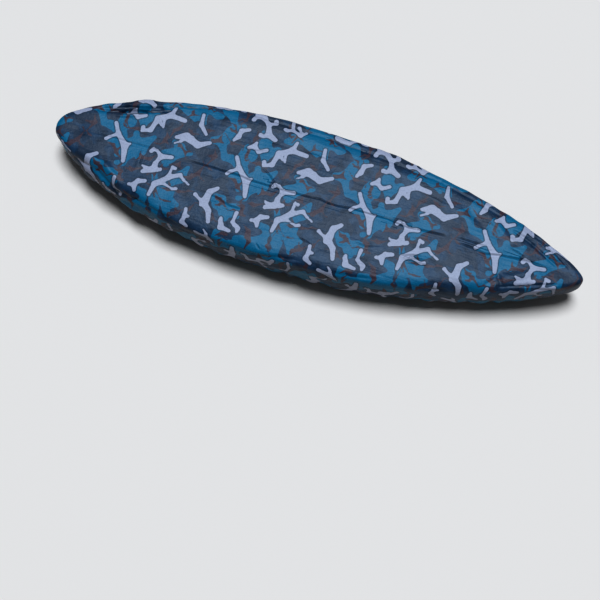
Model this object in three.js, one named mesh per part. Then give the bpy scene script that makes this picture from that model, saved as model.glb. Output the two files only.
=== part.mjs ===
// Fitted storage cover for a small open kayak: one leaf-shaped cloth, laid over the deck, pulled down
// the sides and drawn in under the hull by the elastic in its hem. It is hollow and open underneath.
// Millimetres. +X points to the sharp bow, +Y to port and +Z up. The origin lies against the underside
// of the cloth, at the middle of the deck, where the deck carries the cover.

import * as THREE from "three";

// Cloth
const clothThickness = 2;
const hemThickness = 5;

// Gathers: the folds that the elastic draws in, counted along one side from the stern to the bow
const foldsPerSide = 25;
const columnsPerFold = 4;
const foldShape = [-1, 0.15, 1, 0.15];
const foldSpacingSpread = 0.34;
const foldDepthSpread = 0.45;

// Deck: how round it turns down to the side, a higher power being squarer, and how far the middle crease
// runs towards the tips
const shoulderPower = 5;
const creaseReach = 0.9;
const creaseDepth = 5;

// Stations from the stern tip to the bow tip. x and halfBeam place the widest line. sheerDrop and keelDrop
// are how far the top of the side and the lowest cloth lie below the origin; crown is the rise of the
// middle of the deck over the top of the side; hemX and hemHalf place the hem underneath; fold is the
// depth of the gathers under the hull.
const stations = [
  { x: -1356, halfBeam: 0, sheerDrop: 76, crown: 32, keelDrop: 199, hemX: -960, hemHalf: 0, fold: 12 },
  { x: -1326, halfBeam: 66, sheerDrop: 70, crown: 32, keelDrop: 198, hemX: -950, hemHalf: 26, fold: 12 },
  { x: -1250, halfBeam: 120, sheerDrop: 62, crown: 34, keelDrop: 203, hemX: -922, hemHalf: 52, fold: 12 },
  { x: -1130, halfBeam: 191, sheerDrop: 55, crown: 38, keelDrop: 213, hemX: -872, hemHalf: 84, fold: 11 },
  { x: -940, halfBeam: 261, sheerDrop: 50, crown: 42, keelDrop: 230, hemX: -775, hemHalf: 122, fold: 9 },
  { x: -680, halfBeam: 327, sheerDrop: 45, crown: 45, keelDrop: 250, hemX: -585, hemHalf: 186, fold: 7 },
  { x: -360, halfBeam: 369, sheerDrop: 42, crown: 47, keelDrop: 262, hemX: -320, hemHalf: 246, fold: 6 },
  { x: 0, halfBeam: 372, sheerDrop: 41, crown: 47, keelDrop: 264, hemX: 0, hemHalf: 270, fold: 6 },
  { x: 340, halfBeam: 356, sheerDrop: 41, crown: 47, keelDrop: 262, hemX: 310, hemHalf: 252, fold: 6 },
  { x: 640, halfBeam: 301, sheerDrop: 42, crown: 45, keelDrop: 255, hemX: 590, hemHalf: 210, fold: 7 },
  { x: 900, halfBeam: 238, sheerDrop: 44, crown: 40, keelDrop: 248, hemX: 820, hemHalf: 153, fold: 8 },
  { x: 1118, halfBeam: 164, sheerDrop: 47, crown: 34, keelDrop: 234, hemX: 1000, hemHalf: 92, fold: 7 },
  { x: 1275, halfBeam: 93, sheerDrop: 54, crown: 29, keelDrop: 218, hemX: 1115, hemHalf: 45, fold: 5 },
  { x: 1368, halfBeam: 39, sheerDrop: 66, crown: 24, keelDrop: 203, hemX: 1184, hemHalf: 15, fold: 3 },
  { x: 1398, halfBeam: 0, sheerDrop: 76, crown: 20, keelDrop: 195, hemX: 1200, hemHalf: 0, fold: 2 },
];

// Rings from the middle crease out to the widest line, as a share of the way
const deckRings = [0.03, 0.36, 0.66, 0.82, 0.91, 0.965, 0.993];

// Rings from the widest line down and in under the hull. inset is the share of the way in to the hem,
// drop the share of the way down from the top of the side to the lowest cloth, gather the share of the
// full fold depth.
const wallRings = [
  { inset: 0, drop: 0.36, gather: 0.18, thickness: clothThickness },
  { inset: 0.05, drop: 0.62, gather: 0.38, thickness: clothThickness },
  { inset: 0.17, drop: 0.85, gather: 0.65, thickness: clothThickness },
  { inset: 0.4, drop: 0.98, gather: 0.9, thickness: clothThickness },
  { inset: 0.68, drop: 1, gather: 1, thickness: clothThickness },
  { inset: 0.9, drop: 0.985, gather: 0.8, thickness: clothThickness },
  { inset: 1, drop: 0.97, gather: 0.7, thickness: hemThickness },
];

// Slack in the cloth: long soft rolls and hollows, each along a line on the flat cloth from (x, across)
// to (toX, toAcross), where across is measured over the cloth from the middle, port positive.
const slackFolds = [
  { x: -1250, across: 106, toX: -840, toAcross: 211, width: 16, height: -9 },
  { x: -850, across: 208, toX: -560, toAcross: 332, width: 18, height: -7 },
  { x: -1210, across: 158, toX: -1000, toAcross: 222, width: 22, height: 8 },
  { x: -1030, across: 222, toX: -900, toAcross: 262, width: 30, height: 16 },
  { x: -900, across: 268, toX: -620, toAcross: 350, width: 26, height: 10 },
  { x: -1150, across: -170, toX: -800, toAcross: -300, width: 52, height: -22 },
  { x: -1140, across: -100, toX: -800, toAcross: -240, width: 26, height: 6 },
  { x: -950, across: -350, toX: -830, toAcross: -385, width: 26, height: 14 },
  { x: -640, across: -440, toX: -500, toAcross: -460, width: 34, height: 8 },
  { x: -900, across: 60, toX: -760, toAcross: 170, width: 80, height: 5 },
  { x: -420, across: -120, toX: -300, toAcross: -260, width: 110, height: -5 },
  { x: 60, across: 110, toX: 250, toAcross: 220, width: 100, height: 5 },
  { x: 380, across: -60, toX: 640, toAcross: -140, width: 90, height: -5 },
  { x: 1215, across: -30, toX: 1245, toAcross: -170, width: 24, height: -8 },
  { x: 1325, across: -20, toX: 1320, toAcross: -110, width: 26, height: 5 },
  { x: 1040, across: -150, toX: 1190, toAcross: -110, width: 22, height: -6 },
];

const coverColour = 0x3d4b60;

// An even spread of numbers from -1 to 1, one for each index and purpose.
function scatter(index, purpose) {
  const wave = Math.sin(index * 12.9898 + purpose * 78.233) * 43758.5453;
  return 2 * (wave - Math.floor(wave)) - 1;
}

// A closed line round the cover: along port from the stern to the bow, and back along starboard.
function lineRound(placeAt) {
  const port = stations.map((station) => placeAt(station, 1));
  const starboard = stations
    .slice(1, -1)
    .reverse()
    .map((station) => placeAt(station, -1));
  const line = new THREE.CatmullRomCurve3([...port, ...starboard], true, "catmullrom", 0.5);
  line.arcLengthDivisions = 2000;
  return line;
}

// The middle of the deck is as high as the deck of the station it lies at.
function crestHeight(x) {
  const next = stations.findIndex((station) => station.x > x);
  const [before, after] = [stations[next - 1], stations[next]];
  const along = (x - before.x) / (after.x - before.x);
  return THREE.MathUtils.lerp(before.crown - before.sheerDrop, after.crown - after.sheerDrop, along);
}

const spineLine = lineRound((s) => {
  const x = s.x * creaseReach;
  return new THREE.Vector3(x, 0, crestHeight(x));
});
const sheerLine = lineRound((s, side) => new THREE.Vector3(s.x, side * s.halfBeam, -s.sheerDrop));
const hemLine = lineRound((s, side) => new THREE.Vector3(s.hemX, side * s.hemHalf, -s.keelDrop));

// Columns run from the middle crease to the hem, a few to each fold. Each has its place round the cover
// and its part in its fold, with that fold's own depth.
function foldColumns() {
  const columns = [];
  const folds = 2 * foldsPerSide;
  const edgeOf = (fold) => {
    const atTip = fold % foldsPerSide === 0;
    const shift = atTip ? 0 : foldSpacingSpread * scatter(fold, 1);
    return (fold + shift) / folds;
  };
  for (let fold = 0; fold < folds; fold++) {
    for (let step = 0; step < columnsPerFold; step++) {
      const round = THREE.MathUtils.lerp(edgeOf(fold), edgeOf(fold + 1), step / columnsPerFold);
      columns.push({
        place: sheerLine.getUtoTmapping(round),
        fold: foldShape[step] * (1 + foldDepthSpread * scatter(fold, 2)),
      });
    }
  }
  return columns;
}

// Points of the smooth cover, before its folds. The side is an even blend of its top and the hem, and the
// deck turns down to the widest line in a quarter of a rounded rectangle.
function wallPoint(place, ring) {
  const sheer = sheerLine.getPoint(place);
  const hem = hemLine.getPoint(place);
  const point = new THREE.Vector3().lerpVectors(sheer, hem, ring.inset);
  point.z = THREE.MathUtils.lerp(sheer.z, hem.z, ring.drop);
  return point;
}

function deckPoint(place, share) {
  const spine = spineLine.getPoint(place);
  const widest = wallPoint(place, wallRings[0]);
  const point = new THREE.Vector3().lerpVectors(spine, widest, share);
  const height = (1 - share ** shoulderPower) ** (1 / shoulderPower);
  point.z = THREE.MathUtils.lerp(widest.z, spine.z, height);
  return point;
}

function smoothGrid(columns) {
  const deck = deckRings.map((share) => columns.map((c) => deckPoint(c.place, share)));
  const wall = wallRings.map((ring) => columns.map((c) => wallPoint(c.place, ring)));
  return [...deck, ...wall];
}

// The outward normal at a grid point, from its neighbours along its ring and its column.
function normalAt(grid, ring, column) {
  const count = grid[ring].length;
  const next = grid[ring][(column + 1) % count];
  const previous = grid[ring][(column + count - 1) % count];
  const outer = grid[Math.min(ring + 1, grid.length - 1)][column];
  const inner = grid[Math.max(ring - 1, 0)][column];
  const along = new THREE.Vector3().subVectors(next, previous);
  const outward = new THREE.Vector3().subVectors(outer, inner);
  return along.cross(outward).normalize();
}

// Where each grid point lies on the flat cloth: straight out from the middle, as far as it is over the
// cloth.
function flatPlaces(grid, columns) {
  const widestRing = grid[deckRings.length];
  const flat = [];
  for (let ring = 0; ring < grid.length; ring++) {
    flat.push(
      columns.map(({ place }, column) => {
        const spine = spineLine.getPoint(place);
        const middle = new THREE.Vector2(spine.x, spine.y);
        const widest = widestRing[column];
        const out = new THREE.Vector2(widest.x, widest.y).sub(middle).normalize();
        let distance = grid[0][column].distanceTo(spine);
        for (let i = 0; i < ring; i++) distance += grid[i][column].distanceTo(grid[i + 1][column]);
        return out.multiplyScalar(distance).add(middle);
      }),
    );
  }
  return flat;
}

// How far the slack rolls and hollows lift the cloth at a place on the flat cloth.
function slackAt(flat) {
  let lift = 0;
  for (const fold of slackFolds) {
    const start = new THREE.Vector2(fold.x, fold.across);
    const run = new THREE.Vector2(fold.toX, fold.toAcross).sub(start);
    const offset = new THREE.Vector2().subVectors(flat, start);
    const along = THREE.MathUtils.clamp(offset.dot(run) / run.lengthSq(), 0, 1);
    const distance = offset.distanceTo(run.multiplyScalar(along));
    lift += fold.height * Math.exp(-((distance / fold.width) ** 2));
  }
  return lift;
}

// Half of the way round leads from the stern station to the bow station.
function foldDepthAt(place) {
  const along = (1 - Math.abs(1 - 2 * place)) * (stations.length - 1);
  const [before, after] = [stations[Math.floor(along)], stations[Math.ceil(along)]];
  return THREE.MathUtils.lerp(before.fold, after.fold, along % 1);
}

function gatherAt(ring, column) {
  const wallRing = wallRings[ring - deckRings.length];
  return wallRing ? foldDepthAt(column.place) * wallRing.gather * column.fold : 0;
}

// The middle crease fades out where the deck narrows towards the tips.
function creaseAt(ring, point) {
  return ring === 0 ? Math.min(creaseDepth, Math.abs(point.y) / 2) : 0;
}

// The outer face with its folds, and the inner face a cloth's thickness inside it.
function outerGrid(columns) {
  const smooth = smoothGrid(columns);
  const flat = flatPlaces(smooth, columns);
  return smooth.map((points, ring) =>
    points.map((point, column) => {
      const place = flat[ring][column];
      const lift = slackAt(place) + gatherAt(ring, columns[column]) - creaseAt(ring, point);
      return point.clone().addScaledVector(normalAt(smooth, ring, column), lift);
    }),
  );
}

function innerGrid(outer) {
  return outer.map((points, ring) => {
    const wallRing = wallRings[ring - deckRings.length];
    const thickness = wallRing ? wallRing.thickness : clothThickness;
    return points.map((point, column) =>
      point.clone().addScaledVector(normalAt(outer, ring, column), -thickness),
    );
  });
}

// One closed surface: the outer face, the inner face turned over, and the hem's edge between them. The
// innermost ring is closed across the middle, port column to starboard column.
function coverGeometry() {
  const outer = outerGrid(foldColumns());
  const inner = innerGrid(outer);
  const rings = outer.length;
  const count = outer[0].length;
  const outerIndex = (ring, column) => ring * count + (column % count);
  const innerIndex = (ring, column) => (rings + ring) * count + (column % count);
  const triangles = [];
  const quad = (a, b, c, d) => {
    if (a !== b) triangles.push(a, b, c);
    if (c !== d) triangles.push(a, c, d);
  };
  for (let ring = 0; ring < rings - 1; ring++) {
    for (let i = 0; i < count; i++) {
      const o = [outerIndex(ring, i), outerIndex(ring, i + 1)];
      const p = [outerIndex(ring + 1, i), outerIndex(ring + 1, i + 1)];
      quad(o[0], o[1], p[1], p[0]);
      const m = [innerIndex(ring, i), innerIndex(ring, i + 1)];
      const n = [innerIndex(ring + 1, i), innerIndex(ring + 1, i + 1)];
      quad(m[0], n[0], n[1], m[1]);
    }
  }
  for (let i = 0; i < count / 2; i++) {
    const across = [count - i, count - i - 1];
    quad(outerIndex(0, across[0]), outerIndex(0, across[1]), outerIndex(0, i + 1), outerIndex(0, i));
    quad(innerIndex(0, i), innerIndex(0, i + 1), innerIndex(0, across[1]), innerIndex(0, across[0]));
  }
  for (let i = 0; i < count; i++) {
    const last = rings - 1;
    quad(outerIndex(last, i), outerIndex(last, i + 1), innerIndex(last, i + 1), innerIndex(last, i));
  }
  const positions = [...outer.flat(), ...inner.flat()].flatMap((point) => point.toArray());
  const geometry = new THREE.BufferGeometry();
  geometry.setAttribute("position", new THREE.Float32BufferAttribute(positions, 3));
  geometry.setIndex(triangles);
  geometry.computeVertexNormals();
  return geometry;
}

function cover() {
  const cloth = new THREE.MeshStandardMaterial({
    color: coverColour,
    roughness: 0.62,
    metalness: 0,
  });
  const mesh = new THREE.Mesh(coverGeometry(), cloth);
  mesh.name = "cover";
  return mesh;
}

const kayakCover = new THREE.Group();
kayakCover.add(cover());

export default kayakCover;
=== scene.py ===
import math
import random
from collections import namedtuple

import bpy
import numpy as np
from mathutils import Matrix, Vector


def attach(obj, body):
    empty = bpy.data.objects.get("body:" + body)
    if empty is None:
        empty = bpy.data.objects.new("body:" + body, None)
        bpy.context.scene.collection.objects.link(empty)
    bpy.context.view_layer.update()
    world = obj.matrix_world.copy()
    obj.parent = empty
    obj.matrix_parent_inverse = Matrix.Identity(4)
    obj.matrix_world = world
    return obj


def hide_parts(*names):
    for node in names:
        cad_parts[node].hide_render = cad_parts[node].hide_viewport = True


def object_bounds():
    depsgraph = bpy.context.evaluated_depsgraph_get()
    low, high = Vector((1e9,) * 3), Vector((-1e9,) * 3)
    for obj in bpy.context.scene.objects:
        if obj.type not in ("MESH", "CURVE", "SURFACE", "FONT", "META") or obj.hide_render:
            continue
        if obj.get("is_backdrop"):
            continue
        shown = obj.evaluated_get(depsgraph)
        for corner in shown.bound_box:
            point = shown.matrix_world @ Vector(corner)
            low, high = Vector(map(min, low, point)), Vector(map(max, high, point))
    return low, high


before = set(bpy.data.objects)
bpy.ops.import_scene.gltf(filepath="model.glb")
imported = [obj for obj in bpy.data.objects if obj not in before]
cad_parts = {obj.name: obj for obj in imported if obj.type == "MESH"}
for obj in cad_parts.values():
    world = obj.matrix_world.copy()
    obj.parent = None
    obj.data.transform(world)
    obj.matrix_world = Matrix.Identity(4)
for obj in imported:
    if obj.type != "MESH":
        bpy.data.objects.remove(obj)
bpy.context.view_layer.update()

bl_info = {
    "name": "Kayak cover",
    "version": (1, 0, 0),
    "blender": (4, 5, 0),
    "location": "3D View > Sidebar > Kayak cover",
    "description": "A fitted camouflage cover, gathered by the elastic in its hem",
    "category": "Object",
}

Station = namedtuple("Station", "x half_beam side_drop crown low_drop hem_x hem_half fold")
SideRow = namedtuple("SideRow", "inset drop gather")

# The form of the cover from its stern tip to its bow tip, a Station a row, in millimetres. x and half_beam
# place the widest line. side_drop and low_drop are how far the top of the side and the lowest cloth lie
# under the origin, and crown is the rise of the deck's middle over the top of the side. hem_x and hem_half
# place the hem underneath, and fold is the depth of the gathers.
STATIONS = (
    (-1356, 0, 76, 32, 199, -960, 0, 12),
    (-1326, 66, 70, 32, 198, -950, 26, 12),
    (-1250, 120, 62, 34, 203, -922, 52, 12),
    (-1130, 191, 55, 38, 213, -872, 84, 11),
    (-940, 261, 50, 42, 230, -775, 122, 9),
    (-680, 327, 45, 45, 250, -585, 186, 7),
    (-360, 369, 42, 47, 262, -320, 246, 6),
    (0, 372, 41, 47, 264, 0, 270, 6),
    (340, 356, 41, 47, 262, 310, 252, 6),
    (640, 301, 42, 45, 255, 590, 210, 7),
    (900, 238, 44, 40, 248, 820, 153, 8),
    (1118, 164, 47, 34, 234, 1000, 92, 7),
    (1275, 93, 54, 29, 218, 1115, 45, 5),
    (1368, 39, 66, 24, 203, 1184, 15, 3),
    (1398, 0, 76, 20, 195, 1200, 0, 2),
)

# From the widest line down the side and in underneath. inset is the share of the way in to the hem, drop
# the share of the way down from the top of the side to the lowest cloth, and gather the share of the full
# depth of the gathers.
SIDE = (
    SideRow(0, 0.36, 0.18),
    SideRow(0.05, 0.62, 0.38),
    SideRow(0.17, 0.85, 0.65),
    SideRow(0.4, 0.98, 0.9),
    SideRow(0.68, 1, 1),
    SideRow(0.9, 0.985, 0.8),
    SideRow(1, 0.97, 0.7),
)
# The usual ways in to the hem and down the side, in metres, by which the rows are spaced down the cloth.
TYPICAL_INSET = 0.1
TYPICAL_DEPTH = 0.265

# How late the deck turns down, and how squarely it meets the widest line. A higher power is later and
# squarer.
SHOULDER_POWER = 7
# Stretches of starboard where a slack side slopes out from the deck: x from and to in millimetres, then
# the power for how late it turns down and the power for how squarely.
SLACK_SHOULDERS = (
    (-1310, -620, 11, 1.4),
    (560, 1330, 11, 1.9),
)
# The share of the way to each tip that the deck's middle line runs.
MIDDLE_REACH = 0.9

# The gathers that the elastic draws in, along one side, and how far their widths and depths vary.
FOLDS_PER_SIDE = 25
FOLD_SPACING_SPREAD = 0.34
FOLD_DEPTH_SPREAD = 0.45

# Slack in the cloth: soft rolls and hollows, each along a line on the flat cloth. The columns are x, across
# to port, the same two for the line's end, width and height, in millimetres.
SLACK = (
    (-1183, -111, -1022, -152, 22, 9),
    (-1033, -146, -930, -220, 20, 10),
    (-1213, -163, -1062, -188, 13, -7),
    (-1068, -187, -949, -270, 13, -9),
    (-956, -271, -832, -277, 11, -9),
    (-836, -277, -663, -317, 10, -8),
    (-669, -313, -528, -376, 10, -6),
    (-534, -378, -297, -368, 10, -5),
    (-1053, -219, -987, -268, 16, 7),
    (-946, -357, -839, -362, 18, 12),
    (-785, -419, -636, -403, 16, 6),
    (-1039, 190, -922, 226, 22, 11),
    (-1010, 240, -925, 264, 24, 12),
    (-914, 221, -732, 283, 16, 6),
    (-1113, 114, -856, 179, 16, 4),
    (-577, 332, -430, 338, 9, -6),
    (-430, 338, -204, 325, 9, -7),
    (-209, 323, -14, 321, 9, -7),
    (-20, 321, 178, 311, 9, -7),
    (172, 310, 365, 293, 9, -7),
    (360, 290, 584, 268, 9, -6),
    (580, 269, 806, 217, 8, -5),
    (800, 218, 916, 187, 7, -4),
    (-466, 281, -190, 279, 26, 4),
    (-194, 278, 192, 261, 26, 4),
    (186, 260, 597, 221, 26, 4),
    (648, 169, 781, 115, 26, 5),
    (767, 164, 860, 106, 20, -5),
    (858, 171, 955, 109, 20, 6),
    (942, 144, 1022, 88, 18, -5),
    (980, 93, 1074, 65, 20, 5),
    (1017, -119, 1119, -64, 22, 8),
    (942, -174, 995, -113, 12, -5),
    (793, -199, 902, -174, 22, 4),
    (-335, -271, -230, -308, 34, 5),
    (54, -310, 151, -309, 26, 4),
    (289, -263, 416, -245, 28, 3),
    (-661, -227, -576, -264, 30, 4),
)

# Narrow tucks in the slack, in the same columns.
TUCKS = (
    (-1165, 130, -1044, 155, 9, -15),
    (-1053, 153, -935, 183, 10, -22),
    (-944, 180, -820, 228, 9, -15),
    (-1148, 148, -1029, 182, 7, -10),
    (-1040, 180, -921, 210, 8, -15),
    (-932, 207, -843, 231, 7, -8),
    (-1105, 150, -869, 215, 5, 6),
    (-837, 243, -730, 278, 7, -10),
    (-740, 272, -577, 328, 7, -10),
    (-1061, 120, -843, 203, 7, 4),
    (-1016, 205, -927, 227, 5, -6),
    (1006, 131, 1115, 89, 8, -6),
    (1108, 91, 1243, 25, 8, -6),
    (1046, 136, 1147, 110, 8, 4),
    (1141, 110, 1269, 43, 8, 5),
    (1087, 143, 1172, 121, 7, -5),
    (1167, 121, 1302, 35, 7, -5),
    (1012, -164, 1136, -116, 7, -6),
    (1126, -119, 1264, -71, 7, -6),
    (1159, -133, 1270, -98, 6, -5),
    (977, -97, 1011, -149, 9, -5),
    (-282, -367, -183, -379, 9, -6),
    (-187, -380, -39, -344, 9, -7),
    (-44, -346, 41, -334, 9, -4),
    (203, -347, 311, -335, 9, -5),
    (301, -336, 417, -315, 9, -5),
    (523, -308, 645, -292, 9, -5),
    (636, -297, 768, -263, 9, -5),
    (-145, -462, -26, -432, 14, 8),
    (57, -411, 193, -408, 14, 6),
    (623, -393, 761, -382, 14, 5),
    (552, -153, 647, -134, 6, 3),
    (-880, -34, -878, -112, 9, 3),
)

# Creases from packing and pulling, in millimetres: depth, soft half width, and points on the flat cloth.
CREASES = (
    (1.9, 9, ((-671, -2), (-581, -1), (-498, -2), (-439, -3), (-365, -3), (-317, -10), (-239, -11),
               (-149, -11), (-32, -8), (47, -2), (79, -8), (139, -9), (203, -1), (284, -2), (343, -1),
               (393, 2), (439, -6), (506, -12), (581, -2), (652, 3), (724, 2))),
    (0.9, 12, ((-1190, 0), (-1062, 7), (-849, 8), (-671, -2))),
    (1.5, 9, ((-283, 75), (-224, 39), (-180, -2), (-139, -12))),
    (1.7, 9, ((-522, -132), (-476, -140), (-435, -147), (-402, -159), (-369, -167), (-312, -165),
               (-278, -178))),
    (1.7, 9, ((723, 7), (763, 14), (814, 14), (864, 13), (909, 20))),
    (1.8, 9, ((717, -7), (758, -13), (824, -14), (900, -24), (968, -8), (1032, -2), (1109, 4), (1160, 4),
               (1232, 0))),
    (1.4, 12, ((989, 43), (1051, 29), (1108, 9))),
    (1.4, 11, ((381, 10), (442, 14), (502, 10), (546, 0))),
    (1.5, 9, ((489, -168), (558, -140), (620, -128))),
    (1.5, 9, ((509, -181), (563, -159), (642, -149))),
    (1.2, 9, ((532, -189), (599, -174), (668, -168))),
    (1.2, 14, ((-868, -109), (-868, -70), (-867, -30))),
    (1.3, 10, ((-190, -311), (-174, -325), (-157, -341))),
    (1.2, 12, ((-11, -220), (37, -229), (84, -244))),
    (1.1, 12, ((-128, 218), (-46, 221), (33, 205))),
    (1.1, 12, ((-421, 146), (-338, 150), (-271, 167))),
    (1.1, 12, ((525, 186), (587, 178), (666, 158))),
    (1.1, 12, ((249, -161), (332, -167), (414, -139))),
)

# How far the sharp dent of a crease reaches to its sides, in metres, and the depth of crease at which it
# has its full strength, in millimetres.
DENT_REACH = 0.03
DENT_FULL_DEPTH = 2.4


def metres(rows):
    """Rows of millimetres as an array in metres."""
    return np.array(rows, float) * 0.001


def scatter(index, purpose):
    """An even spread of numbers from -1 to 1, one for each index and purpose."""
    wave = math.sin(index * 12.9898 + purpose * 78.233) * 43758.5453
    return 2 * (wave - math.floor(wave)) - 1


def smooth_step(low, high, value):
    """0 up to low, 1 from high on, and a smooth rise between."""
    share = np.clip((value - low) / (high - low), 0, 1)
    return share * share * (3 - 2 * share)


def round_line(points):
    """A closed smooth line through points, read at places from 0 to 1 round it."""
    points = np.array(points)

    def at(place):
        along = (np.asarray(place) % 1) * len(points)
        first = np.floor(along).astype(int) % len(points)
        share = (along - np.floor(along))[..., None]
        before, start, end, after = (points[(first + k) % len(points)] for k in (-1, 0, 1, 2))
        leave, arrive = (end - before) / 2, (after - start) / 2
        cubic = 2 * start - 2 * end + leave + arrive
        square = 3 * end - 3 * start - 2 * leave - arrive
        return ((cubic * share + square) * share + leave) * share + start

    return at


def through(knots, values, at):
    """A smooth curve through values at knots."""
    slopes = np.gradient(values, knots)
    k = np.clip(np.searchsorted(knots, at, side="right") - 1, 0, len(knots) - 2)
    span = knots[k + 1] - knots[k]
    s = (at - knots[k]) / span
    start = (1 + 2 * s) * (1 - s) ** 2 * values[k] + s * (1 - s) ** 2 * span * slopes[k]
    return start + s * s * (3 - 2 * s) * values[k + 1] - s * s * (1 - s) * span * slopes[k + 1]


def both_sides(rows, place_at):
    """Points from the stern along port to the bow, and back along starboard."""
    port = [place_at(row, 1) for row in rows]
    return port + [place_at(row, -1) for row in rows[-2:0:-1]]


class Form:
    """The closed lines that the cloth is stretched over. The rim has the outline of the widest line and
    the height of the top of the side."""

    def __init__(self):
        stations = [Station(*row) for row in metres(STATIONS)]
        along = [s.x for s in stations]
        crest = [s.crown - s.side_drop for s in stations]

        def spine(s, side):
            x = s.x * MIDDLE_REACH
            return (x, 0, np.interp(x, along, crest))

        def rim(s, side):
            return (s.x, side * s.half_beam, -s.side_drop)

        def hem(s, side):
            return (s.hem_x, side * s.hem_half, -s.low_drop)

        self.spine = round_line(both_sides(stations, spine))
        self.rim = round_line(both_sides(stations, rim))
        self.hem = round_line(both_sides(stations, hem))
        self.fold_depth = round_line(both_sides(stations, lambda s, side: (s.fold,)))
        places = np.linspace(0, 1, 6001)
        steps = np.linalg.norm(np.diff(self.rim(places), axis=0), axis=1)
        self.places = places
        self.length = np.concatenate([[0], np.cumsum(steps)])

    def place_after(self, share):
        """The place round the rim after a share of the rim's length."""
        return np.interp(share, self.length / self.length[-1], self.places)


def deck_rows(count):
    """Shares of the way from the middle to the rim, closer together where the deck turns down."""
    first, even = 0.006, 0.45
    q = np.linspace(0, 1, count)
    share = even * q + (1 - even) * np.sin(q * math.pi / 2)
    return first + (1 - first) * share


def side_rows(count, hem_width):
    """Inset, drop and gather of each row under the widest line, with the last rows close in the hem."""
    table = np.array(SIDE)
    inset_step, drop_step = np.diff(table[:, 0]) * TYPICAL_INSET, np.diff(table[:, 1]) * TYPICAL_DEPTH
    run = np.concatenate([[0], np.cumsum(np.hypot(inset_step, drop_step))])
    hem_rows = np.array([1.0, 0.9, 0.6, 0.3, 0.0])
    above_hem = hem_width * 1.15
    body = np.linspace(0, run[-1] - above_hem, count - len(hem_rows) + 1)[1:]
    at = np.concatenate([body, run[-1] - hem_width * hem_rows])
    return [through(run, table[:, k], at) for k in range(3)]


def unit(vectors):
    """The directions of vectors, each of length 1."""
    return vectors / np.maximum(np.linalg.norm(vectors, axis=-1, keepdims=True), 1e-12)


def outward(grid):
    """The outward direction at each point of a grid of rows round the cover."""
    round_way = np.roll(grid, -1, axis=1) - np.roll(grid, 1, axis=1)
    down_way = np.gradient(grid, axis=0)
    return unit(np.cross(round_way, down_way))


def waves(round_share, down, counts, lean, seed):
    """Folds of uneven width round the cover, fading in and out and leaning as they run down."""
    rng = random.Random(seed)
    total = np.zeros(np.broadcast(round_share, down).shape)
    for count in counts:
        phase = rng.uniform(0, math.tau)
        slant = lean * rng.uniform(-1, 1)
        total += np.cos(math.tau * count * round_share + slant * down * count / counts[0] + phase)
    return total / math.sqrt(len(counts))


def main_folds(share):
    """The large folds, each with its own width and depth, from -1 in a hollow to 1 on a ridge."""
    folds = 2 * FOLDS_PER_SIDE
    edges = np.array([
        (f + (0 if f % FOLDS_PER_SIDE == 0 else FOLD_SPACING_SPREAD * scatter(f, 1))) / folds
        for f in range(folds + 1)
    ])
    fold = np.clip(np.searchsorted(edges, share, side="right") - 1, 0, folds - 1)
    within = (share - edges[fold]) / (edges[fold + 1] - edges[fold])
    depth = np.array([1 + FOLD_DEPTH_SPREAD * scatter(f, 2) for f in range(folds)])
    return -np.cos(math.tau * within) * depth[fold]


def line_distance(flat, start, end):
    """Distance along, to the side of, and from a line between two points of the flat cloth."""
    run = np.subtract(end, start)
    length = np.hypot(*run)
    rel = flat - np.array(start)
    along = (rel @ run) / length
    side = (rel[..., 1] * run[0] - rel[..., 0] * run[1]) / length
    over = along - np.clip(along, 0, length)
    return along, side, np.hypot(side, over)


def slack(flat):
    """The height of the slack rolls, hollows and tucks, each a little lower at its ends."""
    end_drop, lowest = 0.35, 0.4
    lift = np.zeros(flat.shape[:-1])
    for x, across, to_x, to_across, width, height in metres(SLACK + TUCKS):
        start, end = np.array((x, across)), np.array((to_x, to_across))
        along, _, distance = line_distance(flat, start, end)
        fade = 1 - end_drop * (2 * along / np.hypot(*(end - start)) - 1) ** 2
        lift += height * np.clip(fade, lowest, 1) * np.exp(-((distance / width) ** 2))
    return lift


def ripples(flat, seed):
    """Low uneven swells of cloth that lies on a deck without being tight."""
    swells, shortest, longest, turn_spread = 26, 0.07, 0.34, 0.9
    rng = random.Random(seed)
    total = np.zeros(flat.shape[:-1])
    for _ in range(swells):
        length = rng.uniform(shortest, longest)
        turn = rng.gauss(0, turn_spread)
        along, across = math.tau * math.sin(turn) / length, math.tau * math.cos(turn) / length
        phase = rng.uniform(0, math.tau)
        bend = 0.9 * np.sin(flat[..., 0] * rng.uniform(3, 8) + rng.uniform(0, 6))
        total += length * np.cos(flat[..., 0] * along + flat[..., 1] * across + bend + phase)
    return total / total.std()


def crease_marks(flat):
    """The soft trough of all creases, and the sharp line of the nearest one: its offset and strength."""
    fade_run, overlap = 0.09, 0.004
    trough = np.zeros(flat.shape[:-1])
    offset = np.full(flat.shape[:-1], DENT_REACH)
    strength = np.zeros(flat.shape[:-1])
    nearest = np.full(flat.shape[:-1], DENT_REACH)
    for depth, width, points in CREASES:
        line = metres(points)
        width *= 0.001
        total = sum(np.hypot(*(b - a)) for a, b in zip(line, line[1:]))
        done = 0.0
        deepest = np.zeros(trough.shape)
        for start, end in zip(line, line[1:]):
            along, side, distance = line_distance(flat, start, end)
            length = np.hypot(*(end - start))
            walked = done + np.clip(along, 0, length)
            fade = smooth_step(0, min(fade_run, total / 3), np.minimum(walked, total - walked))
            deepest = np.maximum(deepest, fade * np.exp(-((distance / width) ** 2)))
            closer = (distance < nearest) & (along > -overlap) & (along < length + overlap)
            offset = np.where(closer, side, offset)
            near = smooth_step(DENT_REACH, 0.016, distance)
            strength = np.where(closer, fade * near * depth / DENT_FULL_DEPTH, strength)
            nearest = np.where(closer, distance, nearest)
            done += length
        trough -= depth * 0.001 * deepest
    return trough, offset, strength


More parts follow.
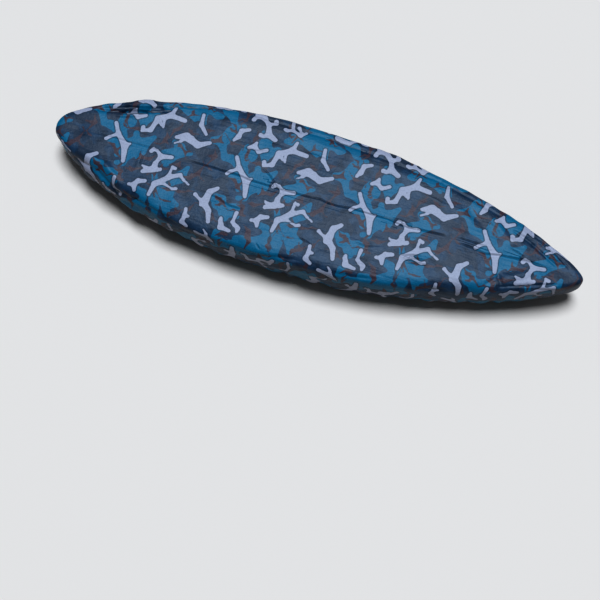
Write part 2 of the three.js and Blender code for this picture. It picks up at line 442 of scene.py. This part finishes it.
class Cloth:
    """Every point of the cover: rows from the middle of the deck to the hem, columns round the cover."""

    def __init__(self, sizes):
        form = Form()
        columns = sizes.columns
        share = np.arange(columns) / columns
        place = form.place_after(share)
        spine, rim, hem = form.spine(place), form.rim(place), form.hem(place)

        deck = deck_rows(sizes.deck_rows)
        inset, drop, gather = side_rows(sizes.side_rows, sizes.hem_width)
        rows = len(deck) + len(inset)
        grid = np.zeros((rows, columns, 3))
        s = deck[:, None]
        widest = rim[:, 2] + (hem[:, 2] - rim[:, 2]) * SIDE[0].drop
        grid[:len(deck)] = spine + (rim - spine) * s[..., None]
        turn, fall = self.shoulder_powers(rim)
        round_off = (1 - s ** turn) ** (1 / fall)
        grid[:len(deck), :, 2] = widest + (spine[:, 2] - widest) * round_off
        grid[len(deck):] = rim + (hem - rim) * inset[:, None, None]
        grid[len(deck):, :, 2] = rim[:, 2] + (hem[:, 2] - rim[:, 2]) * drop[:, None]

        rim_row = len(deck) - 1
        self.soften(grid, rim_row, sizes.shoulder_rounds)
        self.flat = self.flatten(grid, spine, rim)
        steps = np.linalg.norm(np.diff(grid, axis=0), axis=-1)
        to_edge = np.concatenate([np.cumsum(steps[::-1], axis=0)[::-1], np.zeros((1, columns))])
        hem_ring = grid[-1]
        run = np.cumsum(np.linalg.norm(hem_ring - np.roll(hem_ring, 1, axis=0), axis=-1))
        self.hem_place = np.stack([np.broadcast_to(run, to_edge.shape), to_edge], axis=-1)

        gather_rows = np.concatenate([SIDE[0].gather * smooth_step(0.9, 1, deck), gather])[:, None]
        below = np.clip((np.arange(rows) - rim_row) / (rows - 1 - rim_row), 0, 1)[:, None]
        depth = form.fold_depth(place)[:, 0]
        lift = depth * gather_rows * main_folds(share)
        lift = lift + self.small_gathers(share, below, depth, sizes)
        trough, self.crease_offset, self.crease_strength = crease_marks(self.flat)
        calmer_side = 1 - 0.6 * smooth_step(0.0, 0.3, below)
        lift = lift + slack(self.flat) + trough
        lift = lift + sizes.swell * ripples(self.flat, seed=11) * calmer_side
        lift = lift + self.hem_roll(to_edge, sizes)
        self.outer = grid + outward(grid) * lift[..., None]
        self.inner = self.outer - outward(self.outer) * sizes.thickness

    @staticmethod
    def shoulder_powers(rim):
        """How late the deck turns down at each column, and how squarely it reaches the widest line."""
        begin_run, end_run, off_middle = 0.14, 0.24, 0.09
        powers = np.full((2, len(rim)), float(SHOULDER_POWER))
        starboard = smooth_step(0, off_middle, -rim[:, 1])
        for start, end, turn, fall in SLACK_SHOULDERS:
            start, end = start * 0.001, end * 0.001
            begun = smooth_step(start, start + begin_run, rim[:, 0])
            ended = smooth_step(end - end_run, end, rim[:, 0])
            powers += (np.array([[turn], [fall]]) - SHOULDER_POWER) * (begun * (1 - ended)) * starboard
        return powers

    @staticmethod
    def soften(grid, rim_row, rounds):
        """Round the turn from the deck to the side, as cloth does that bridges an edge."""
        rows_softened = 11
        rows = np.arange(1, grid.shape[0] - 1)
        share = 0.5 * np.exp(-(((rows - rim_row) / rows_softened) ** 4))[:, None, None]
        for _ in range(rounds):
            middle = (grid[:-2] + grid[2:]) / 2
            grid[1:-1] += share * (middle - grid[1:-1])

    @staticmethod
    def flatten(grid, spine, rim):
        """Where each point lies on the flat cloth: straight out from the middle, as far as it is over the
        cloth, so that the print closes up in the gathers as it does on cloth."""
        out = unit((rim - spine)[:, :2])
        first = np.linalg.norm((grid[0] - spine)[:, :2], axis=-1)
        steps = np.linalg.norm(np.diff(grid, axis=0), axis=-1)
        distance = np.concatenate([first[None], first + np.cumsum(steps, axis=0)])
        return spine[:, :2] + out * distance[..., None]

    @staticmethod
    def small_gathers(share, below, depth, sizes):
        """Folds between the main ones, which grow towards the elastic and close up into the main ones
        above, and the puckers just under the widest line. All are deeper at the slack ends."""
        slack_ends = depth / depth.max()
        start = 0.62 - 0.5 * slack_ends
        middle = waves(share, below, (68, 81, 93, 57), lean=3.0, seed=5)
        middle = middle * smooth_step(start, start + 0.4, below)
        fine = waves(share, below, (118, 131, 146, 155), lean=2.0, seed=8)
        fine = fine * smooth_step(0.62, 1.0, below)
        puckers = waves(share, below, (61, 47, 68), lean=5.0, seed=21)
        puckers = puckers * smooth_step(0.0, 0.2, below) * (1 - smooth_step(0.45, 0.9, below))
        return (
            sizes.small_fold * middle * (0.35 + 0.65 * slack_ends)
            + sizes.hem_ruffle * fine * (0.5 + 0.5 * slack_ends)
            + sizes.pucker * puckers * (0.4 + 0.6 * slack_ends)
        )

    @staticmethod
    def hem_roll(to_edge, sizes):
        """The hem's casing stands out a little over its elastic."""
        within = np.clip(1 - to_edge / sizes.hem_width, 0, 1)
        return sizes.hem_rise * np.sqrt(np.clip(1 - (2 * within - 1) ** 2, 0, 1)) * (within > 0)

    def cut(self):
        """Width, length and area of the flat piece that the cover is cut from."""
        edge = self.flat[-1]
        ahead = np.roll(edge, -1, axis=0)
        area = abs(np.sum(edge[:, 0] * ahead[:, 1] - ahead[:, 0] * edge[:, 1])) / 2
        return np.ptp(edge[:, 1]), np.ptp(edge[:, 0]), area


class Print:
    """A plain camouflage: figures strewn over one repeat of the cloth, each of branching strokes."""

    def __init__(self, repeat, half_width):
        self.repeat = repeat
        self.half_width = half_width

    def wrap(self, run):
        """The shortest way along the cloth, over as many repeats as lie between."""
        return run - self.repeat * np.round(run / self.repeat)

    @staticmethod
    def figure(rng, kind):
        """Strokes of one figure: a bent body, limbs that leave it at its joints, feet on some limbs."""
        size = rng.uniform(*kind["size"])
        body, limb = rng.uniform(*kind["body"]), rng.uniform(*kind["limb"])
        strokes = []

        def stroke(x, y, r, angle, length, end_r):
            x2, y2 = x + length * math.cos(angle), y + length * math.sin(angle)
            strokes.append((x, y, r, x2, y2, end_r))
            return x2, y2, end_r

        angle = rng.uniform(0, math.tau)
        here = (-0.4 * size * math.cos(angle), -0.4 * size * math.sin(angle), limb * kind["tip"])
        parts = rng.randint(*kind["parts"])
        joints = []
        side = rng.choice((-1, 1))
        for part in range(parts):
            angle += side * rng.uniform(0.2, kind["bend"])
            side = -side if rng.random() < kind["zigzag"] else side
            end_r = body * rng.uniform(0.55, 1.15) if part < parts - 1 else limb * kind["tip"]
            here = stroke(*here, angle, size * rng.uniform(0.75, 1.25) / parts, end_r)
            joints.append((*here, angle))
        side = rng.choice((-1, 1))
        for k in range(rng.randint(*kind["limbs"])):
            x, y, r, joint_angle = joints[k % len(joints)]
            angle = joint_angle + side * rng.uniform(0.7, 1.9)
            side = -side
            here = (x, y, min(r, limb * 1.4))
            for part in range(rng.choice((1, 2, 2))):
                here = stroke(*here, angle, size * rng.uniform(0.12, 0.24), limb * rng.uniform(0.65, 0.95))
                angle += rng.uniform(-1.1, 1.1)
            if rng.random() < kind["feet"]:
                turned = angle + rng.choice((-1, 1))
                stroke(*here[:2], here[2] * 1.1, turned, size * 0.09, limb * kind["tip"])
        return strokes

    @staticmethod
    def dots(strokes):
        """Points along the strokes of a figure, with their radii."""
        steps = np.linspace(0, 1, 4)[:, None, None]
        return (strokes[:, :3] + (strokes[:, 3:] - strokes[:, :3]) * steps).reshape(-1, 3)

    def strew(self, seed, kind, figures):
        """More figures of one kind, at least its gap away from each other and from the figures there."""
        rng = random.Random(seed)
        figures = list(figures)
        taken = np.concatenate([np.zeros((0, 3))] + [self.dots(strokes) for strokes in figures])
        wanted = len(figures) + kind["count"]
        for _ in range(kind["tries"]):
            strokes = self.figure(rng, kind)
            x, y = rng.uniform(0, self.repeat), rng.uniform(-self.half_width, self.half_width)
            strokes = np.array(strokes) + np.array([x, y, 0, x, y, 0])
            dots = self.dots(strokes)
            if len(taken):
                away = np.hypot(
                    self.wrap(dots[:, None, 0] - taken[:, 0]), dots[:, None, 1] - taken[:, 1]
                )
                if (away - dots[:, None, 2] - taken[:, 2]).min() < kind["gap"]:
                    continue
            taken = np.concatenate([taken, dots])
            figures.append(strokes)
            if len(figures) == wanted:
                break
        return figures

    def distance(self, flat, figures, join):
        """How far each point lies outside the figures, whose strokes run softly into each other."""
        furthest, figure_reach, stroke_reach = 0.06, 0.3, 0.3
        x, y = flat[..., 0].ravel(), flat[..., 1].ravel()
        best = np.full(x.shape, furthest)
        for strokes in figures:
            centre = (strokes[:, :2] + strokes[:, 3:5]).mean(axis=0) / 2
            near = np.abs(y - centre[1]) < figure_reach
            u, v = self.wrap(x[near] - centre[0]) + centre[0], y[near]
            total = np.zeros(u.shape)
            for x0, y0, r0, x1, y1, r1 in strokes:
                dx, dy = x1 - x0, y1 - y0
                t = np.clip(((u - x0) * dx + (v - y0) * dy) / (dx * dx + dy * dy), 0, 1)
                away = np.hypot(u - x0 - t * dx, v - y0 - t * dy) - (r0 + (r1 - r0) * t)
                total += np.exp(-np.minimum(away, stroke_reach) / join)
            best[near] = np.minimum(best[near], -join * np.log(total))
        return best.reshape(flat.shape[:-1])


# The print reaches this far to each side of the cloth's middle.
PRINT_HALF_WIDTH = 0.78

# The print's figures, in metres. Each kind gives the count in one repeat, the gap kept between two, the
# tries at placing them, the size, the radii of body and limbs, the parts of the body, how far it bends and
# how often it bends back, the limbs, the share of limbs with a foot, the radius of the ends over the
# limb's, and how softly the strokes join.
FIGURES = {
    "pale": (
        dict(count=20, gap=0.024, tries=1500, size=(0.17, 0.25), body=(0.011, 0.019),
             limb=(0.0066, 0.0088), parts=(3, 4), bend=1.1, zigzag=0.6, limbs=(2, 4),
             feet=0.6, tip=1.35, join=0.0035),
        dict(count=14, gap=0.02, tries=900, size=(0.09, 0.14), body=(0.009, 0.013),
             limb=(0.0066, 0.0085), parts=(2, 3), bend=1.3, zigzag=0.5, limbs=(0, 2),
             feet=0.2, tip=1.2, join=0.003),
    ),
    "blue": (
        dict(count=30, gap=-0.03, tries=900, size=(0.16, 0.3), body=(0.02, 0.036),
             limb=(0.009, 0.016), parts=(3, 4), bend=1.0, zigzag=0.6, limbs=(2, 5),
             feet=0.3, tip=0.45, join=0.006),
    ),
    "dark": (
        dict(count=20, gap=-0.01, tries=900, size=(0.12, 0.24), body=(0.018, 0.034),
             limb=(0.01, 0.018), parts=(2, 3), bend=1.0, zigzag=0.5, limbs=(2, 4),
             feet=0, tip=0.5, join=0.008),
    ),
    "sprig": (
        dict(count=75, gap=0.004, tries=2200, size=(0.08, 0.15), body=(0.0055, 0.0095),
             limb=(0.0038, 0.0054), parts=(2, 3), bend=0.9, zigzag=0.4, limbs=(1, 3),
             feet=0, tip=0.4, join=0.003),
    ),
}


def print_distances(flat, choices):
    """How far each point of the cloth lies outside the figures of each colour."""
    cloth = Print(choices.repeat, PRINT_HALF_WIDTH)
    distances = {}
    for order, (name, kinds) in enumerate(FIGURES.items()):
        figures = []
        for step, kind in enumerate(kinds):
            figures = cloth.strew(choices.seed + order + 10 * step, kind, figures)
        distances[name] = cloth.distance(flat, figures, kinds[0]["join"])
    return distances


def add_mesh(name, outer, inner):
    """One closed thin sheet: the outer rows, every second row of the inner face, and the hem's edge."""
    rows, columns, _ = outer.shape
    kept = sorted({*range(0, rows - 1, 2), rows - 1})
    points = np.concatenate([outer.reshape(-1, 3), inner[kept].reshape(-1, 3)])
    first_inner = rows * columns

    def ring(start, row):
        return start + row * columns + np.arange(columns)

    def band(upper, lower):
        return np.stack([upper, np.roll(upper, -1), np.roll(lower, -1), lower], axis=-1)

    outer_rings = [ring(0, r) for r in range(rows)]
    inner_rings = [ring(first_inner, r) for r in range(len(kept))]
    quads = [band(a, b) for a, b in zip(outer_rings, outer_rings[1:])]
    quads += [band(b, a) for a, b in zip(inner_rings, inner_rings[1:])]
    quads += [band(outer_rings[-1], inner_rings[-1])]
    port = np.arange(1, columns // 2 - 1)
    for top, flip in ((outer_rings[0], False), (inner_rings[0], True)):
        strip = np.stack([top[columns - port], top[columns - port - 1], top[port + 1], top[port]], axis=-1)
        quads.append(strip[:, ::-1] if flip else strip)
    faces = [tuple(face) for face in np.concatenate(quads).tolist()]
    half = columns // 2
    for top, flip in ((outer_rings[0], False), (inner_rings[0], True)):
        for tip in ((top[0], top[columns - 1], top[1]), (top[half], top[half - 1], top[half + 1])):
            faces.append(tuple(int(v) for v in (tip[::-1] if flip else tip)))
    mesh = bpy.data.meshes.new(name)
    mesh.from_pydata(points.tolist(), [], faces)
    mesh.validate()
    obj = bpy.data.objects.new(name, mesh)
    bpy.context.scene.collection.objects.link(obj)
    return obj, kept


def add_attribute(obj, name, kept, values):
    """Values of each grid point, on the outer face and on the rows kept of the inner one."""
    point = values.shape[2:]
    both = np.concatenate([values.reshape(-1, *point), values[kept].reshape(-1, *point)])
    if point:
        both = np.column_stack([both, np.zeros(len(both))])
        obj.data.attributes.new(name, "FLOAT_VECTOR", "POINT").data.foreach_set("vector", both.ravel())
    else:
        obj.data.attributes.new(name, "FLOAT", "POINT").data.foreach_set("value", both.ravel())


class Socket:
    """An output of a shader node, or a number, that arithmetic can be written with."""

    def __init__(self, tree, output):
        self.tree = tree
        self.output = output

    def math(self, operation, *others):
        """A Math node with this value first."""
        node = self.tree.nodes.new("ShaderNodeMath")
        node.operation = operation
        for slot, value in zip(node.inputs, (self, *others)):
            if isinstance(value, Socket):
                self.tree.links.new(value.output, slot)
            else:
                slot.default_value = value
        return Socket(self.tree, node.outputs[0])

    def __add__(self, other):
        return self.math("ADD", other)

    __radd__ = __add__

    def __mul__(self, other):
        return self.math("MULTIPLY", other)

    __rmul__ = __mul__

    def __sub__(self, other):
        return self.math("SUBTRACT", other)

    def __rsub__(self, other):
        return (self * -1) + other

    def __truediv__(self, other):
        return self.math("DIVIDE", other)

    def clamp(self):
        """Kept from 0 to 1."""
        return self.math("MINIMUM", 1).math("MAXIMUM", 0)


class Finish:
    """A material on the Principled shader, with constants for the shader's own sockets."""

    def __init__(self, name, **constants):
        self.material = bpy.data.materials.new(name)
        self.material.use_nodes = True
        self.tree = self.material.node_tree
        self.shader = next(n for n in self.tree.nodes if n.type == "BSDF_PRINCIPLED")
        for socket, value in constants.items():
            self.shader.inputs[socket.replace("_", " ")].default_value = value

    def node(self, kind, output=0, settings=None, **sockets):
        """A node's output. Sockets are given by name, or as i and their index, and settings come first."""
        node = self.tree.nodes.new(kind)
        for key, value in (settings or {}).items():
            setattr(node, key, value)
        for key, value in sockets.items():
            slot = node.inputs[int(key[1:])] if key[0] == "i" and key[1:].isdigit() else node.inputs[key]
            if isinstance(value, Socket):
                self.tree.links.new(value.output, slot)
            else:
                slot.default_value = value
        return Socket(self.tree, node.outputs[output])

    def attribute(self, name, output="Fac"):
        """A value that the mesh carries at its points."""
        return self.node("ShaderNodeAttribute", output, {"attribute_name": name})

    def parts(self, vector):
        """The three numbers of a vector."""
        first = self.node("ShaderNodeSeparateXYZ", Vector=vector)
        return [Socket(self.tree, output) for output in first.output.node.outputs]

    def noise(self, vector, scale, detail=2.0, roughness=0.5):
        """Noise about zero, mostly from -1 to 1."""
        value = self.node("ShaderNodeTexNoise", "Fac", Vector=vector, Scale=scale, Detail=detail,
                          Roughness=roughness)
        return (value - 0.5) * 4

    def stretch(self, vector, x, y, turn=0.0):
        """A vector turned and scaled, for noise that is longer one way."""
        return self.node("ShaderNodeMapping", "Vector", Vector=vector, Scale=(x, y, 1.0),
                         Rotation=(0.0, 0.0, turn))

    def mix(self, share, under, over):
        """The colour over laid on the colour under, as far as share goes."""
        under, over = (c if isinstance(c, Socket) else (*c, 1.0) for c in (under, over))
        # Input 0 is the share, 6 and 7 are the colours, and output 2 is the mixed colour.
        return self.node("ShaderNodeMix", 2, {"data_type": "RGBA"}, i0=share, i6=under, i7=over)

    def shade(self, colour, amount):
        """A colour made lighter or darker by an amount about zero."""
        grey = self.node("ShaderNodeCombineXYZ", 0, X=amount + 1, Y=amount + 1, Z=amount + 1)
        return self.node("ShaderNodeVectorMath", 0, {"operation": "MULTIPLY"}, i0=colour, i1=grey)

    def set(self, **sockets):
        """Link values to the shader's sockets."""
        for key, value in sockets.items():
            self.tree.links.new(value.output, self.shader.inputs[key.replace("_", " ")])


def linear(red, green, blue):
    """A colour from 0 to 255, as a screen shows it, for a shader."""
    return tuple(
        c / 12.92 if c <= 0.04045 else ((c + 0.055) / 1.055) ** 2.4
        for c in (red / 255, green / 255, blue / 255)
    )


def crease_line(finish):
    """A sharp dent, with a low lip on both sides."""
    dent_half, lip_away, lip_half = 0.0055, 0.009, 0.006
    strength = finish.attribute("crease_strength")
    away = finish.attribute("crease_offset").math("ABSOLUTE")
    dent = strength * (1 - away / dent_half).clamp()
    lip = strength * (1 - (away - lip_away).math("ABSOLUTE") / lip_half).clamp()
    return dent, lip


def hem_seam(finish, hem_place, hem_width):
    """The hem's stitches, and the close pleats that the elastic draws in its casing."""
    thread, stitch, turn_in, pleat = 0.0012, 0.0045, 0.002, 0.0105
    run, to_edge, _ = finish.parts(hem_place)
    line = (1 - (to_edge - hem_width).math("ABSOLUTE") / thread).clamp()
    dash = ((run * (math.tau / stitch)).math("SINE") * 3 + 2).clamp()
    casing = ((hem_width - to_edge) / turn_in).clamp()
    pleats = (run * (math.tau / pleat) + finish.noise(hem_place, 60.0) * 0.8).math("SINE")
    return line, dash, casing * pleats


def weave(finish, flat):
    """The height of a plain weave, over and under, from -1 to 1."""
    pitch = 0.0016
    run, across, _ = finish.parts(flat)
    return (run * (math.tau / pitch)).math("SINE") * (across * (math.tau / pitch)).math("SINE")


def printed_face(colours, sizes):
    """The printed side: satin coated polyester, with four colours laid over a slate ground."""
    finish = Finish("printed_polyester", Specular_IOR_Level=0.3)
    flat = finish.attribute("flat_cut", "Vector")
    hem_place = finish.attribute("hem_place", "Vector")
    fine_edge = finish.noise(flat, 45.0) * 0.0012
    broad_edge = finish.noise(flat, 14.0) * 0.0035

    def laid(name, edge, soft, spread=0.0):
        """Where a colour covers: its figures and its spread round them, with a soft uneven edge."""
        return (0.5 - (finish.attribute(name) + edge - spread) / soft).clamp()

    patches = finish.noise(flat, 16.0)
    colour = finish.mix((patches * 0.9 + 0.3).clamp(), colours.ground, colours.ground_deep)
    colour = finish.mix(laid("dark", broad_edge, soft=0.005), colour, colours.dark)
    colour = finish.mix(laid("blue", broad_edge, soft=0.0025, spread=0.006), colour, colours.blue)
    colour = finish.mix(laid("sprig", fine_edge, soft=0.003), colour, colours.sprig)
    outline = laid("pale", fine_edge, soft=0.004, spread=0.0055)
    colour = finish.mix(outline * 0.7, colour, colours.ground_deep)
    colour = finish.mix(laid("pale", fine_edge, soft=0.0022), colour, colours.pale)

    grain = finish.noise(flat, 260.0, detail=3.0, roughness=0.7)
    blotch = finish.noise(flat, 38.0, detail=3.0)
    dent, lip = crease_line(finish)
    line, dash, pleats = hem_seam(finish, hem_place, sizes.hem_width)
    tone = grain * 0.14 + finish.noise(flat, 110.0) * 0.1 + blotch * 0.05
    # Painted shade: the colour is darker in the crease dents. It is a little lighter on the lips beside
    # them.
    tone = tone - dent * 0.55 + lip * 0.2 + pleats * 0.08 - line * 0.3
    # Painted highlight and painted shade: the hem's pleats are lighter on their ridges and darker in their
    # hollows.
    colour = finish.shade(colour, tone)
    colour = finish.mix(line * dash, colour, colours.thread)

    crinkle = finish.noise(flat, 55.0, detail=3.0, roughness=0.55)
    pulled = finish.noise(finish.stretch(flat, 6.0, 34.0, turn=0.06), 1.0)
    height = (
        weave(finish, flat) * 0.00003
        + grain * 0.00004
        + crinkle * 0.0004
        + finish.noise(flat, 120.0) * 0.00012
        + pulled * 0.0009
        + (lip * 0.4 - dent) * 0.002
        + pleats * 0.0011
        + line * (dash * 0.0006 - 0.0012)
    )
    finish.set(
        Base_Color=colour,
        Roughness=0.5 + blotch * 0.03 + grain * 0.02,
        Normal=finish.node("ShaderNodeBump", Height=height, Distance=1.0, Strength=1.0),
    )
    return finish.material


def coated_face(colours):
    """The inner side: a dull grey coating that the weave shows through."""
    finish = Finish("coated_back", Specular_IOR_Level=0.35)
    flat = finish.attribute("flat_cut", "Vector")
    blotch = finish.noise(flat, 30.0, detail=3.0)
    grain = finish.noise(flat, 220.0, detail=3.0, roughness=0.7)
    base = finish.mix((blotch * 0.5 + 0.5).clamp(), colours.back, colours.back_worn)
    crinkle = finish.noise(flat, 55.0, detail=3.0)
    height = weave(finish, flat) * 0.00005 + grain * 0.00005 + crinkle * 0.0003
    finish.set(
        Base_Color=finish.shade(base, grain * 0.05),
        Roughness=0.62 + blotch * 0.05,
        Normal=finish.node("ShaderNodeBump", Height=height, Distance=1.0, Strength=1.0),
    )
    return finish.material


def length(name, description, default):
    """A property that holds a length in metres."""
    return bpy.props.FloatProperty(
        name=name, description=description, default=default, unit="LENGTH", precision=4
    )


def count(name, description, default):
    """A property that holds a whole number from 1 up."""
    return bpy.props.IntProperty(name=name, description=description, default=default, min=1)


def angle(name, description, degrees):
    """A property that holds an angle, given in degrees."""
    return bpy.props.FloatProperty(
        name=name, description=description, default=math.radians(degrees), subtype="ANGLE"
    )


def number(name, description, default):
    """A property that holds a plain number from 0 up."""
    return bpy.props.FloatProperty(name=name, description=description, default=default, min=0)


def colour(name, description, *shown):
    """A property that holds a colour, given as a screen shows it."""
    return bpy.props.FloatVectorProperty(
        name=name, description=description, default=linear(*shown), subtype="COLOR", min=0, max=1
    )


class ClothSizes(bpy.types.PropertyGroup):
    """Sizes of the cloth, its folds and its mesh"""

    thickness: length("Thickness", "Thickness of the coated cloth", 0.0015)
    hem_width: length("Hem width", "Width of the casing that the elastic runs in", 0.018)
    hem_rise: length("Hem rise", "How far the casing stands out over its elastic", 0.0025)
    swell: length("Swell", "Rise and fall of the cloth that lies slack on the deck", 0.0012)
    pucker: length("Puckers", "Depth of the folds just under the widest line", 0.0016)
    small_fold: length("Small folds", "Depth of the gathers between the main folds", 0.0042)
    hem_ruffle: length("Hem ruffle", "Depth of the fine gathers at the elastic", 0.003)
    shoulder_rounds: count("Shoulder rounds", "How often the turn of the deck is smoothed", 8)
    columns: count("Columns", "Points of the mesh round the cover, an even number", 800)
    deck_rows: count("Deck rows", "Rows of the mesh from the middle of the deck to its widest line", 50)
    side_rows: count("Side rows", "Rows of the mesh from the widest line to the hem", 26)


class ClothPrint(bpy.types.PropertyGroup):
    """Layout and colours of the print, the thread and the coating"""

    repeat: length("Repeat", "Length after which the print starts again", 0.64)
    seed: count("Seed", "Chooses one layout of the figures", 7)
    ground: colour("Ground", "Slate ground of the print", 35, 60, 82)
    ground_deep: colour("Deep ground", "Darker places of the ground", 19, 37, 54)
    dark: colour("Dark", "Dark patches", 36, 50, 66)
    blue: colour("Blue", "Blue patches", 0, 92, 120)
    sprig: colour("Sprigs", "Brown sprigs over the patches", 64, 49, 56)
    pale: colour("Pale", "Pale figures on top", 143, 145, 159)
    thread: colour("Thread", "Stitching of the hem", 30, 36, 48)
    back: colour("Back", "Coating on the inner side", 70, 76, 84)
    back_worn: colour("Worn back", "Lighter places of the coating", 88, 94, 102)


class StudioSizes(bpy.types.PropertyGroup):
    """Camera, light and floor"""

    turn: angle("Turn", "Turn of the camera round the cover", 16.11)
    rise: angle("Rise", "How steeply the camera looks down", 70)
    target_height: length("Target height", "Height of the point that the camera turns round", -0.1)
    distance: length("Distance", "From the camera to that point", 6.5)
    aim_right: length("Aim right", "How far right of that point the camera aims", -0.0453)
    aim_up: length("Aim up", "How far above that point in the view the camera aims", -0.4867)
    lens: number("Lens", "Focal length, in millimetres", 77.53)
    sky: number("Sky", "Strength of the light all round", 0.1)
    overhead: number("Overhead", "Strength of the soft light above", 3.25)
    lean: angle("Lean", "How far the light above stands to port", 12)
    softness: angle("Softness", "Width of the light above, as an angle", 22)
    daylight: colour("Daylight", "Tint of the sky and of the light above", 226, 240, 255)
    floor: colour("Floor", "The pale floor", 210, 198, 187)


def face_materials(cover, first_inner, outside, inside):
    """Give the mesh its outside material, and the inside one where all points of a face are inner ones."""
    cover.data.materials.append(outside)
    cover.data.materials.append(inside)
    corners = np.empty(len(cover.data.loops), int)
    cover.data.loops.foreach_get("vertex_index", corners)
    starts = np.empty(len(cover.data.polygons), int)
    cover.data.polygons.foreach_get("loop_start", starts)
    lowest = np.minimum.reduceat(corners, starts)
    cover.data.polygons.foreach_set("material_index", (lowest >= first_inner).astype(int))


def smooth_shade(obj):
    """Smooth shading, with the sharpest turns kept."""
    bpy.ops.object.select_all(action="DESELECT")
    obj.select_set(True)
    bpy.context.view_layer.objects.active = obj
    bpy.ops.object.shade_smooth_by_angle(angle=math.radians(75))
    obj.select_set(False)


class KAYAK_COVER_OT_cloth(bpy.types.Operator):
    """Make the printed cloth of the cover, with its gathers and hem"""

    bl_idname = "kayak_cover.cloth"
    bl_label = "Cover cloth"

    def execute(self, context):
        sizes, choices = context.scene.cloth_sizes, context.scene.cloth_print
        cloth = Cloth(sizes)
        cover, kept = add_mesh("cover_sheet", cloth.outer, cloth.inner)
        add_attribute(cover, "flat_cut", kept, cloth.flat)
        add_attribute(cover, "hem_place", kept, cloth.hem_place)
        add_attribute(cover, "crease_offset", kept, cloth.crease_offset)
        add_attribute(cover, "crease_strength", kept, cloth.crease_strength)
        for name, distance in print_distances(cloth.flat, choices).items():
            add_attribute(cover, name, kept, distance)
        first_inner = cloth.outer.shape[0] * cloth.outer.shape[1]
        face_materials(cover, first_inner, printed_face(choices, sizes), coated_face(choices))
        smooth_shade(cover)
        width, run, area = cloth.cut()
        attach(cover, "root")
        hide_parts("cover")
        return {"FINISHED"}


class KAYAK_COVER_OT_stage(bpy.types.Operator):
    """Make the pale floor, the soft light and the camera"""

    bl_idname = "kayak_cover.stage"
    bl_label = "Stage"

    def execute(self, context):
        studio = context.scene.studio_sizes
        low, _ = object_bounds()
        gap = 0.0005
        bpy.ops.mesh.primitive_plane_add(size=40, location=(0, 0, low.z - gap))
        floor = context.object
        floor.name = "floor"
        paper = Finish("paper_floor", Roughness=0.8, Base_Color=(*studio.floor, 1.0))
        floor.data.materials.append(paper.material)
        floor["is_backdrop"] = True

        context.scene.view_settings.view_transform = "Standard"
        context.scene.view_settings.look = "High Contrast"
        world = bpy.data.worlds.new("soft_sky")
        world.use_nodes = True
        sky = next(n for n in world.node_tree.nodes if n.type == "BACKGROUND")
        sky.inputs["Color"].default_value = (*studio.daylight, 1.0)
        sky.inputs["Strength"].default_value = studio.sky
        context.scene.world = world
        bpy.ops.object.light_add(type="SUN", rotation=(-studio.lean, 0, 0))
        light = context.object
        light.name = "overhead"
        light.data.energy = studio.overhead
        light.data.angle = studio.softness
        light.data.color = studio.daylight

        target = Vector((0, 0, studio.target_height))
        right = Vector((math.cos(studio.turn), math.sin(studio.turn), 0))
        back = Vector((
            math.sin(studio.turn) * math.cos(studio.rise),
            -math.cos(studio.turn) * math.cos(studio.rise),
            math.sin(studio.rise),
        ))
        place = target + back * studio.distance
        aim = target + right * studio.aim_right + back.cross(right) * studio.aim_up
        look = (aim - place).to_track_quat("-Z", "Y").to_euler()
        bpy.ops.object.camera_add(location=place, rotation=look)
        camera = context.object
        camera.name = "camera"
        camera.data.lens = studio.lens
        camera.data.sensor_width = 36.0
        camera.data.dof.use_dof = False
        context.scene.camera = camera
        return {"FINISHED"}


class KAYAK_COVER_PT_panel(bpy.types.Panel):
    """Sizes and buttons of the kayak cover"""

    bl_idname = "KAYAK_COVER_PT_panel"
    bl_label = "Kayak cover"
    bl_space_type = "VIEW_3D"
    bl_region_type = "UI"
    bl_category = "Kayak cover"

    def draw(self, context):
        for group, operator in (
            (context.scene.cloth_sizes, None),
            (context.scene.cloth_print, "kayak_cover.cloth"),
            (context.scene.studio_sizes, "kayak_cover.stage"),
        ):
            column = self.layout.column(align=True)
            for name in group.__annotations__:
                column.prop(group, name)
            if operator:
                self.layout.operator(operator)


GROUPS = {"cloth_sizes": ClothSizes, "cloth_print": ClothPrint, "studio_sizes": StudioSizes}
CLASSES = (*GROUPS.values(), KAYAK_COVER_OT_cloth, KAYAK_COVER_OT_stage, KAYAK_COVER_PT_panel)


def register():
    """Add the classes to Blender, and their settings to its scenes."""
    for made in CLASSES:
        bpy.utils.register_class(made)
    for name, group in GROUPS.items():
        setattr(bpy.types.Scene, name, bpy.props.PointerProperty(type=group))


def unregister():
    """Take the settings and the classes away again."""
    for name in GROUPS:
        delattr(bpy.types.Scene, name)
    for made in reversed(CLASSES):
        bpy.utils.unregister_class(made)


def main():
    """Make the cover and the stage."""
    register()
    bpy.ops.object.select_all(action="DESELECT")
    bpy.ops.kayak_cover.cloth()
    bpy.ops.kayak_cover.stage()


if __name__ == "__main__":
    main()
